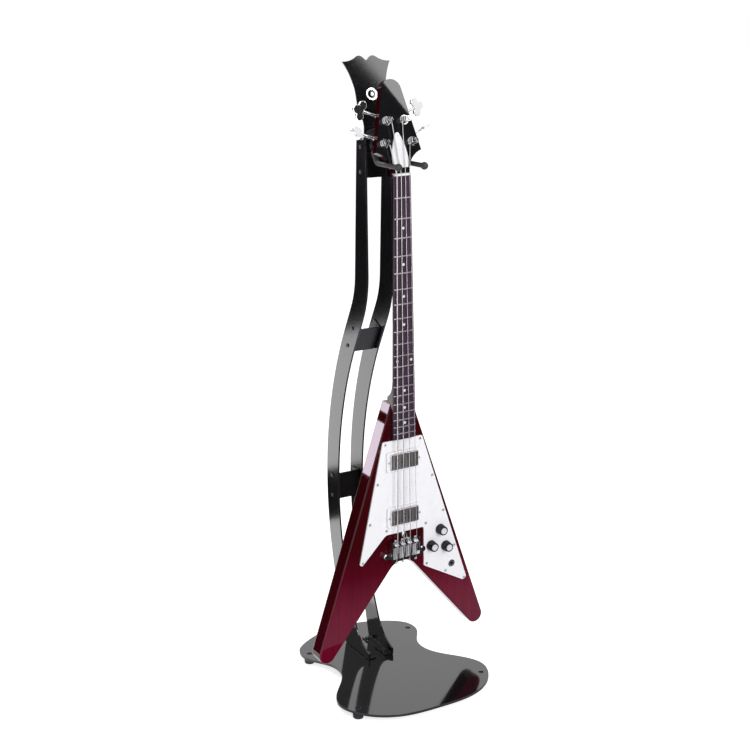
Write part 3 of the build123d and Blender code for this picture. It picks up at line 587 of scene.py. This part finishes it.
def add_cross(mesh, place, reach, depth):
    """Adds a cross of painted shade, for the recess, on a screw's head: a grid of nine fields
    without its corners.
    """
    grid = bmesh.ops.create_grid(mesh, x_segments=3, y_segments=3, size=reach)["verts"]
    for vert in grid:
        for axis in (0, 1):
            if abs(vert.co[axis]) < reach / 2:
                vert.co[axis] *= ARM_NARROWING
    faces = list({face for vert in grid for face in vert.link_faces})
    middles = {face: face.calc_center_median() for face in faces}
    corners = [face for face, middle in middles.items()
               if min(abs(middle.x), abs(middle.y)) > reach / 4]
    bmesh.ops.delete(mesh, geom=corners, context="FACES")
    faces = [face for face in faces if face.is_valid]
    made = bmesh.ops.extrude_face_region(mesh, geom=faces)["geom"]
    raised = [item for item in made if isinstance(item, bmesh.types.BMVert)]
    bmesh.ops.translate(mesh, verts=raised, vec=(0, 0, depth))
    verts = list({vert for face in faces if face.is_valid for vert in face.verts} | set(raised))
    bmesh.ops.transform(mesh, matrix=place, verts=verts)


def stand_towards(item, place, aim, roll):
    """Puts a lamp or a card at a place, with its front to a point."""
    turn = (Vector(aim) - Vector(place)).to_track_quat("-Z", "Y").to_matrix()
    item.location = place
    item.rotation_euler = (turn @ Matrix.Rotation(roll, 3, "Z")).to_euler()


def add_lamp(name, place, aim, size, power, roll=0.0, colour=(1.0, 1.0, 1.0)):
    """Adds a softbox."""
    data = bpy.data.lights.new(name, "AREA")
    data.shape = "RECTANGLE"
    data.size, data.size_y = size
    data.energy = power
    data.color = colour
    lamp = bpy.data.objects.new(name, data)
    bpy.context.scene.collection.objects.link(lamp)
    stand_towards(lamp, place, aim, roll)


def add_card(name, place, aim, size, shade, roll=0.0, pale=None, glow=0.0):
    """Adds a card that only gloss and metal reflect."""
    mesh = bmesh.new()
    bmesh.ops.create_grid(mesh, x_segments=1, y_segments=1, size=0.5)
    bmesh.ops.scale(mesh, vec=(*size, 1), verts=mesh.verts)
    card = new_object(name, mesh, card_finish(name, shade, pale, glow))
    stand_towards(card, place, aim, roll)
    card.visible_camera = False
    card.visible_diffuse = False
    card.visible_shadow = False


def add_standing_card(name, place, size, shade):
    """Adds a card that stands upright and faces the stand."""
    add_card(name, place, (0, 0, place[2]), size, shade)


def add_floor_card(name, place, size, shade, **look):
    """Adds a card that lies just above the floor."""
    add_card(name, place, (place[0], place[1], -1), size, shade, **look)


def light_room(scene, studio):
    """White room with softboxes, and cards that shape the reflections."""
    world = bpy.data.worlds.new("room")
    scene.world = world
    world.use_nodes = True
    graph = Graph(world.node_tree)
    background = world.node_tree.nodes["Background"]
    graph.feed(background.inputs["Color"], (1, 1, 1))
    graph.feed(background.inputs["Strength"], studio.room + (1 - studio.room) * graph.seen())
    add_lamp("key_lamp", (0.0, -3.4, 1.7), LAMP_TARGET, (1.6, 2.0), studio.key)
    add_lamp("back_lamp", (-0.8, 2.7, 3.7), LAMP_TARGET, (2.0, 2.0), studio.back)
    add_lamp("fill_lamp", (1.86, -2.18, 2.57), (0, 0, 2.57), (0.9, 0.4), studio.fill,
             roll=radians(24))
    add_lamp("crown_lamp", (1.716, -1.96, 2.93), (0, 0, 2.93), (0.5, 0.5), 0.6 * studio.fill,
             roll=radians(20))
    add_lamp("rim_lamp_low", (-3.882, 4.781, 0.73), (0, 0, 0.73), (1.0, 0.36), 0.46 * studio.rim,
             colour=LILAC)
    add_lamp("rim_lamp_high", (-3.882, 4.781, 1.2), (0, 0, 1.2), (1.0, 0.44), 0.54 * studio.rim,
             colour=LILAC)
    add_standing_card("card_front", (1.536, -2.574, 2.775), (2.4, 1.65), 0.004)
    add_standing_card("card_key", (0.85, -2.7, 1.45), (1.5, 1.0), 0.01)
    add_standing_card("card_low", (0.9, -1.5, 0.575), (2.4, 1.13), 0.01)
    add_floor_card("card_floor", (0.45, -0.8, 0.004), (1.9, 1.44), 0.02, pale=(0.8, 0.77, 0.95))
    add_standing_card("card_back", (-3.3, 5.36, 1.4), (4.5, 2.8), 0.006)
    add_floor_card("card_far_floor", (-2.9, 4.61, 0.004), (4.4, 2.9), 0.006)
    add_floor_card("card_near_floor", (-0.64, 1.165, 0.004), (1.4, 0.43), 0.01)
    add_floor_card("card_shine", (-1.3, 1.8, 0.003), (2.4, 3.0), 0.0, glow=2.7)
    add_card("card_sky", (1.95, 3.0, 1.95), (0.4, 0.3, 0.0), (3.2, 2.4), 0.0, glow=1.45)
    add_floor_card("card_side_floor", (-1.95, 2.42, 0.005), (0.5, 4.3), 0.01, roll=radians(35))


class STAND_OT_finish(bpy.types.Operator):
    """Gives the stand's plates, brackets, screws and rubber their finishes"""

    bl_idname = "bass_stand.finish"
    bl_label = "Finish the stand"

    def execute(self, context):
        colours = context.scene.stand_finish
        black = colours.lacquer
        dress(stand_lacquer("base_lacquer", black, 0.03), "base_plate")
        dress(stand_lacquer("plate_lacquer", black, 0.06), "side_plate_left", "side_plate_right")
        dress(stand_satin("crown_satin", black, 0.04), "crown_bracket")
        dress(stand_satin("bracket_satin", black, 0.3), "middle_bracket", "lower_bracket")
        dress(black_hardware("black_hardware", colours.hardware, 0.6, 0.5), "foot_bolts",
              "bracket_screws")
        dress(black_hardware("black_oxide", black, 0.0, 0.1), "foot_screws", "yoke_nuts",
              "yoke_rods")
        dress(black_rubber(colours.rubber), "feet", "yoke_sleeves")
        return {"FINISHED"}


class STAND_OT_medallion(bpy.types.Operator):
    """Finishes the crown's bare medallion with an enamel ring and a plain button"""

    bl_idname = "bass_stand.medallion"
    bl_label = "Finish the medallion"

    def execute(self, context):
        rim = bright_metal("medallion_rim", context.scene.guitar_finish.chrome, 0.14, 0.1)
        enamel = black_gloss("medallion_enamel", context.scene.stand_finish.enamel)
        dress(rim, "crown_medallion")
        low, high = (Vector(corner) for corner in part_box("crown_medallion"))
        radius = (high.x - low.x) / 2 - MEDALLION_RIM
        disc = loose_parts("crown_medallion")[0]
        middle = sum(disc, Vector()) / len(disc)
        outward = leaning(CROWN_TILT)
        top = max((corner - middle).dot(outward) for corner in disc)
        mesh = bmesh.new()
        bmesh.ops.create_cone(mesh, cap_ends=True, segments=48, radius1=radius, radius2=radius,
                              depth=ENAMEL_THICKNESS)
        front = max(mesh.faces, key=lambda face: face.calc_center_median().z)
        stepped_face(mesh, front, MEDALLION_STEPS)
        place = standing_on(middle + outward * (top - ENAMEL_SINK), outward)
        bmesh.ops.transform(mesh, matrix=place, verts=mesh.verts)
        new_piece("medallion_field", mesh, "stand", [enamel, rim])
        return {"FINISHED"}


class GUITAR_OT_wood(bpy.types.Operator):
    """Stains and lacquers the body, neck, headstock and fretboard"""

    bl_idname = "bass_guitar.wood"
    bl_label = "Finish the wood"

    def execute(self, context):
        colours = context.scene.guitar_finish
        # The body's stain carries painted light on the wings and painted shade above them and on
        # the sides.
        dress(cherry_lacquer(colours.cherry_painted_light, colours.cherry_painted_shade), "body", "neck")
        dress(black_gloss("head_lacquer", colours.face), "head_veneer")
        dress(dark_board(colours.board_light, colours.board_dark), "fretboard")
        dress(pearl_inlay(colours.pearl), "position_dots")
        return {"FINISHED"}


class GUITAR_OT_plastic(bpy.types.Operator):
    """Finishes the white guard, rings, truss cover and nut"""

    bl_idname = "bass_guitar.plastic"
    bl_label = "Finish the white plastic"

    def execute(self, context):
        white = context.scene.guitar_finish.white
        dress(white_plastic("guard_white", white), "pickguard", "pickup_rings")
        dress(white_plastic("nut_white", dimmed(white, 0.96)), "truss_cover", "nut")
        return {"FINISHED"}


class GUITAR_OT_metal(bpy.types.Operator):
    """Plates the bridge, tuners, pickups, frets and screws, and finishes the strings"""

    bl_idname = "bass_guitar.metal"
    bl_label = "Finish the metal"

    def execute(self, context):
        colours = context.scene.guitar_finish
        chrome = bright_metal("chrome_plate", colours.chrome, 0.05, 0.08)
        strings = wound_string("wound_string", colours.wire)
        dress(chrome, "bridge_plate", "bridge_studs", "jack_socket", "strap_buttons",
              "tuner_bushings", "tuner_housings")
        for name in STRING_NAMES:
            dress(chrome, f"saddle_{name}", f"tuner_key_{name}", f"tuner_post_{name}")
            dress(strings, f"string_{name}")
        dress(bright_metal("nickel_cover", colours.nickel, 0.24, 0.1), "pickup_neck",
              "pickup_bridge")
        dress(bright_metal("nickel_screw", colours.chrome, 0.4, 0.16), "truss_cover_screws",
              "pickguard_screws", "pickup_screws", "tuner_screws", "saddle_screws")
        dress(bright_metal("fret_wire", colours.fret, 0.3, 0.12, (0.2, 1, 1)), "frets")
        dress(bright_metal("plain_steel", (0.45, 0.45, 0.46), 0.3, 0.2), "truss_rod", "pots")
        return {"FINISHED"}


class GUITAR_OT_windings(bpy.types.Operator):
    """Winds each string's end round its post"""

    bl_idname = "bass_guitar.windings"
    bl_label = "Wind the posts"

    def execute(self, context):
        sizes = context.scene.detail_sizes
        wire = wound_string("post_winding", context.scene.guitar_finish.wire)
        for name in STRING_NAMES:
            mesh = bmesh.new()
            wound_ridge(mesh, sizes.coil_radius, sizes.coil_wire, WINDING_START,
                        WINDING_PITCH * sizes.coil_wire, sizes.coil_turns)
            bmesh.ops.transform(mesh, matrix=joint_place(f"post_{name}_turn"), verts=mesh.verts)
            new_piece(f"winding_{name}", mesh, f"post_{name}", [wire])
        return {"FINISHED"}


class GUITAR_OT_worms(bpy.types.Operator):
    """Cuts a thread on each tuner's worm"""

    bl_idname = "bass_guitar.worms"
    bl_label = "Thread the worms"

    def execute(self, context):
        sizes = context.scene.detail_sizes
        steel = bright_metal("worm_steel", (0.6, 0.58, 0.55), 0.2, 0.15)
        for name in STRING_NAMES:
            mesh = bmesh.new()
            wound_ridge(mesh, sizes.worm_radius, sizes.worm_ridge, -WORM_LENGTH / 2,
                        WORM_LENGTH / sizes.worm_turns, sizes.worm_turns)
            bmesh.ops.transform(mesh, matrix=joint_place(f"key_{name}_turn"), verts=mesh.verts)
            new_piece(f"worm_thread_{name}", mesh, f"key_{name}", [steel])
        return {"FINISHED"}


class GUITAR_OT_knobs(bpy.types.Operator):
    """Makes the fluted knobs with their silver caps"""

    bl_idname = "bass_guitar.knobs"
    bl_label = "Make the knobs"

    def execute(self, context):
        sizes = context.scene.detail_sizes
        colours = context.scene.guitar_finish
        skirt = knob_skirt(colours.knob)
        cap = knob_cap(colours.chrome)
        for name in KNOB_NAMES:
            mesh = bmesh.new()
            bmesh.ops.create_cone(mesh, cap_ends=True, segments=2 * sizes.knob_flutes,
                                  radius1=sizes.knob_radius, radius2=sizes.knob_top,
                                  depth=sizes.knob_height)
            bmesh.ops.translate(mesh, verts=mesh.verts,
                                vec=(0, 0, KNOB_GAP + sizes.knob_height / 2))
            bmesh.ops.bisect_plane(mesh, geom=mesh.verts[:] + mesh.edges[:] + mesh.faces[:],
                                   plane_co=(0, 0, KNOB_COLLAR), plane_no=(0, 0, 1))
            sides = [face for face in mesh.faces
                     if abs(face.normal.z) < 0.5 and face.calc_center_median().z > KNOB_COLLAR]
            sides.sort(key=lambda face: Vector((1, 0)).angle_signed(face.calc_center_median().xy))
            bmesh.ops.inset_individual(mesh, faces=sides[::2], thickness=FLUTE_EDGE,
                                       depth=-FLUTE_DEPTH)
            top = max(mesh.faces, key=lambda face: face.calc_center_median().z + face.normal.z)
            stepped_face(mesh, top, KNOB_STEPS)
            bmesh.ops.transform(mesh, matrix=joint_place(f"knob_{name}_turn"), verts=mesh.verts)
            piece = new_piece(f"knob_fluted_{name}", mesh, f"knob_{name}", [skirt, cap])
            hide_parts(f"knob_{name}")
        return {"FINISHED"}


class GUITAR_OT_screw_slots(bpy.types.Operator):
    """Adds crosses of painted shade, standing for the recesses, to the guitar's screw heads"""

    bl_idname = "bass_guitar.screw_slots"
    bl_label = "Add the screw recesses"

    def execute(self, context):
        depth = context.scene.detail_sizes.shade_cross_depth
        body_front = leaning(0)
        mesh = bmesh.new()
        for node, outward in (("pickguard_screws", body_front), ("pickup_screws", body_front),
                              ("truss_cover_screws", leaning(HEAD_TILT))):
            for index, (middle, radius) in enumerate(head_places(node, outward)):
                turn = Matrix.Rotation(CROSS_TURN * index, 4, "Z")
                add_cross(mesh, standing_on(middle, outward) @ turn, CROSS_REACH * radius, depth)
        # The crosses are painted shade standing in for the screws' recesses.
        new_piece("screw_recess_shade", mesh, "guitar", [recess_shade()])
        return {"FINISHED"}


class STUDIO_OT_stage(bpy.types.Operator):
    """Sets the floor, the lamps, the room and the camera"""

    bl_idname = "bass_studio.stage"
    bl_label = "Set the studio"

    def execute(self, context):
        scene = context.scene
        studio = scene.studio_settings
        mesh = bmesh.new()
        bmesh.ops.create_circle(mesh, segments=64, radius=FLOOR_RADIUS, cap_ends=True)
        floor = new_object("floor", mesh, floor_finish(studio.floor, studio.glow))
        light_room(scene, studio)
        camera_data = bpy.data.cameras.new("camera")
        camera_data.lens = studio.lens
        camera_data.sensor_width = SENSOR_WIDTH
        camera_data.clip_end = VIEW_END
        camera = bpy.data.objects.new("camera", camera_data)
        camera.location = studio.place
        camera.rotation_euler = (pi / 2 - studio.pitch, 0, -studio.turn)
        scene.collection.objects.link(camera)
        scene.camera = camera
        scene.view_settings.view_transform = "Standard"
        return {"FINISHED"}


class BASS_PT_panel(bpy.types.Panel):
    """Steps that dress the guitar and its stand"""

    bl_label = "Bass Guitar On Stand"
    bl_idname = "BASS_PT_panel"
    bl_space_type = "VIEW_3D"
    bl_region_type = "UI"
    bl_category = "Bass Guitar"

    def draw(self, context):
        for step in STEPS:
            self.layout.operator(step.bl_idname)


GROUPS = {
    "stand_finish": StandFinish,
    "guitar_finish": GuitarFinish,
    "detail_sizes": DetailSizes,
    "studio_settings": StudioSettings,
}
STEPS = (
    STAND_OT_finish, STAND_OT_medallion, GUITAR_OT_wood, GUITAR_OT_plastic, GUITAR_OT_metal,
    GUITAR_OT_windings, GUITAR_OT_worms, GUITAR_OT_knobs, GUITAR_OT_screw_slots, STUDIO_OT_stage
)


def register():
    for name, group in GROUPS.items():
        bpy.utils.register_class(group)
        setattr(bpy.types.Scene, name, PointerProperty(type=group))
    for step in STEPS:
        bpy.utils.register_class(step)
    bpy.utils.register_class(BASS_PT_panel)


def unregister():
    bpy.utils.unregister_class(BASS_PT_panel)
    for step in reversed(STEPS):
        bpy.utils.unregister_class(step)
    for name, group in reversed(GROUPS.items()):
        delattr(bpy.types.Scene, name)
        bpy.utils.unregister_class(group)


def main():
    register()
    bpy.ops.bass_stand.finish()
    bpy.ops.bass_stand.medallion()
    bpy.ops.bass_guitar.wood()
    bpy.ops.bass_guitar.plastic()
    bpy.ops.bass_guitar.metal()
    bpy.ops.bass_guitar.windings()
    bpy.ops.bass_guitar.worms()
    bpy.ops.bass_guitar.knobs()
    bpy.ops.bass_guitar.screw_slots()
    bpy.ops.bass_studio.stage()


if __name__ == "__main__":
    main()
